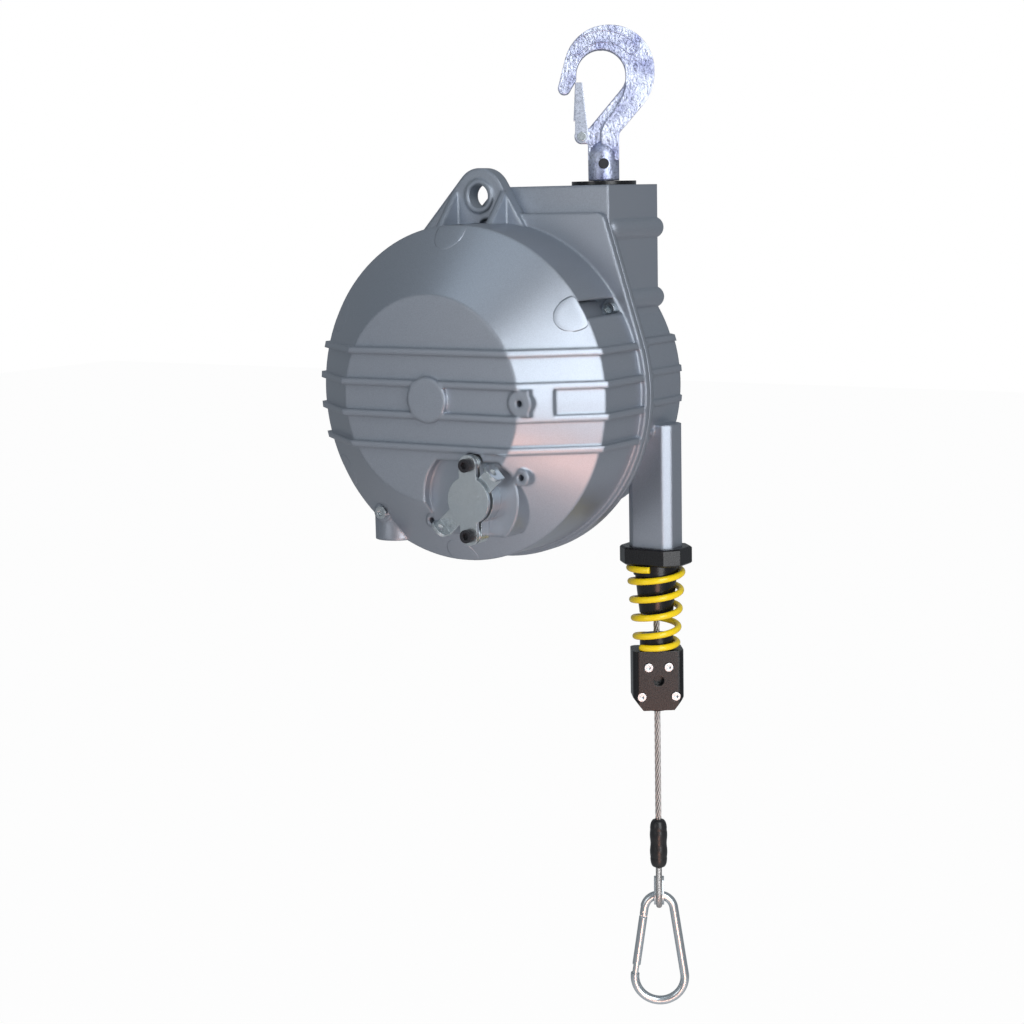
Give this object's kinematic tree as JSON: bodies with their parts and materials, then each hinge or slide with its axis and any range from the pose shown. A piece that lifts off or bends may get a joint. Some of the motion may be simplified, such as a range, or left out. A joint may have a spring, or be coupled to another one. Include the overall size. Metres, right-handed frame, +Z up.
{
  "type": "tool balancer",
  "caption": "Spring tool balancer: die-cast round housing with swivel hook, safety eye, brake lever, sprung rope outlet, stop clamp and carabiner on a wire rope.",
  "frame": {"origin": "highest point inside the bowl of the swivel hook, where the unit hangs", "axes": "+Z up along the hook's stem, +Y to the rear along the drum axis, -Y out of the front cover, +X towards the rope outlet"},
  "size_m": [0.268, 0.2102, 0.7913],
  "materials": {
    "cast_silver": "silver metallic enamel on die-cast aluminium, fine grain",
    "zinc_steel": "bright zinc-plated steel",
    "forged_hook": "galvanised forging, speckled",
    "black_plastic": "black moulded plastic, satin",
    "black_rubber": "black shrink sleeve",
    "yellow_spring": "glossy yellow powder coat",
    "steel_rope": "stranded galvanised rope",
    "black_oxide": "black oxide screws",
    "bare_steel": "machined steel",
    "spring_steel": "blued strip",
    "bronze": "sintered bronze",
    "cast_inner": "machined casting"
  },
  "bodies": {
    "hook": {"load_hook": "forged_hook", "hook_stem": "bare_steel", "hook_cross_pin": "black_oxide", "latch_pin": "zinc_steel", "hook_nut": "zinc_steel", "swivel_bearing": "bare_steel"},
    "latch": {"hook_latch": "zinc_steel"},
    "housing": {"rear_housing": "cast_silver", "front_cover": "cast_silver", "cover_screws": "zinc_steel", "swivel_washer": "black_plastic", "outlet_collar": "black_plastic", "rope_guide": "black_plastic", "bumper_spring": "yellow_spring", "rope_inner": "steel_rope", "lock_spacer": "zinc_steel", "lock_cap_plate": "zinc_steel", "lock_screws": "black_oxide", "worm_bush": "bronze", "worm_bush_screw": "zinc_steel", "front_bush": "bronze", "rear_bush": "bronze"},
    "adjuster": {"adjuster_worm": "bare_steel"},
    "arbor": {"main_shaft": "bare_steel", "worm_wheel": "bronze", "spring_arbor": "bare_steel", "shaft_circlips": "black_oxide"},
    "drum": {"rope_drum": "cast_inner", "spring_case": "cast_inner", "spring_case_lid": "bare_steel", "drum_screws": "black_oxide", "drum_bearings": "bare_steel", "rope_on_drum": "steel_rope", "mainspring": "spring_steel"},
    "brake_lever": {"lock_lever": "zinc_steel"},
    "brake_bolt": {"lock_bolt": "bare_steel"},
    "rope_end": {"rope": "steel_rope", "clamp_front": "black_plastic", "clamp_rear": "black_plastic", "clamp_screws": "zinc_steel", "rope_sleeve": "black_rubber", "rope_eye": "steel_rope", "thimble": "zinc_steel"},
    "carabiner": {"carabiner_body": "zinc_steel", "gate_pin": "zinc_steel"},
    "gate": {"carabiner_gate": "zinc_steel"}
  },
  "joints": [
    {"name": "hook_swivel", "type": "hinge", "parent": "hook", "child": "housing", "pos_m": [0, 0, -0.101], "axis": [0, 0, 1], "continuous": true},
    {"name": "latch_hinge", "type": "hinge", "parent": "hook", "child": "latch", "pos_m": [-0.01438, -0.0083, -0.0653], "axis": [-0.5, 0.866, 0], "range_deg": [0, 26], "stiffness_Nm_per_rad": 0.03, "springref_deg": -22.92},
    {"name": "rope_travel", "type": "slide", "parent": "housing", "child": "rope_end", "axis": [0, 0, -1], "range_m": [0, 2], "stiffness_N_per_m": 10, "springref_m": -1.5},
    {"name": "drum_spin", "type": "hinge", "parent": "housing", "child": "drum", "pos_m": [-0.075, 0.002, -0.259], "axis": [0, 1, 0], "range_deg": [0, 1080.1]},
    {"name": "adjuster_turn", "type": "hinge", "parent": "housing", "child": "adjuster", "pos_m": [-0.1418, -0.09, -0.259], "axis": [0, 0, 1], "continuous": true},
    {"name": "arbor_turn", "type": "hinge", "parent": "housing", "child": "arbor", "pos_m": [-0.075, -0.048, -0.259], "axis": [0, 1, 0], "continuous": true},
    {"name": "brake_lever_turn", "type": "hinge", "parent": "housing", "child": "brake_lever", "pos_m": [-0.036, -0.143, -0.332], "axis": [0, 1, 0], "range_deg": [0, 50]},
    {"name": "brake_bolt_slide", "type": "slide", "parent": "housing", "child": "brake_bolt", "axis": [0, 1, 0], "range_m": [0, 0.00701]},
    {"name": "carabiner_swing", "type": "hinge", "parent": "rope_end", "child": "carabiner", "pos_m": [0.0311, 0.021, -0.6785], "axis": [0.8829, 0.4695, 0], "range_deg": [-60, 60]},
    {"name": "gate_hinge", "type": "hinge", "parent": "carabiner", "child": "gate", "pos_m": [0.02018, 0.01519, -0.69217], "axis": [0.4695, -0.8829, 0], "range_deg": [0, 20], "stiffness_Nm_per_rad": 0.03, "springref_deg": -28.65}
  ],
  "couplings": [
    {"joint": "drum_spin", "follows": "rope_travel", "rad_per_m": 9.4248},
    {"joint": "arbor_turn", "follows": "adjuster_turn", "ratio": -0.022727},
    {"joint": "brake_bolt_slide", "follows": "brake_lever_turn", "m_per_rad": 0.0080214}
  ]
}
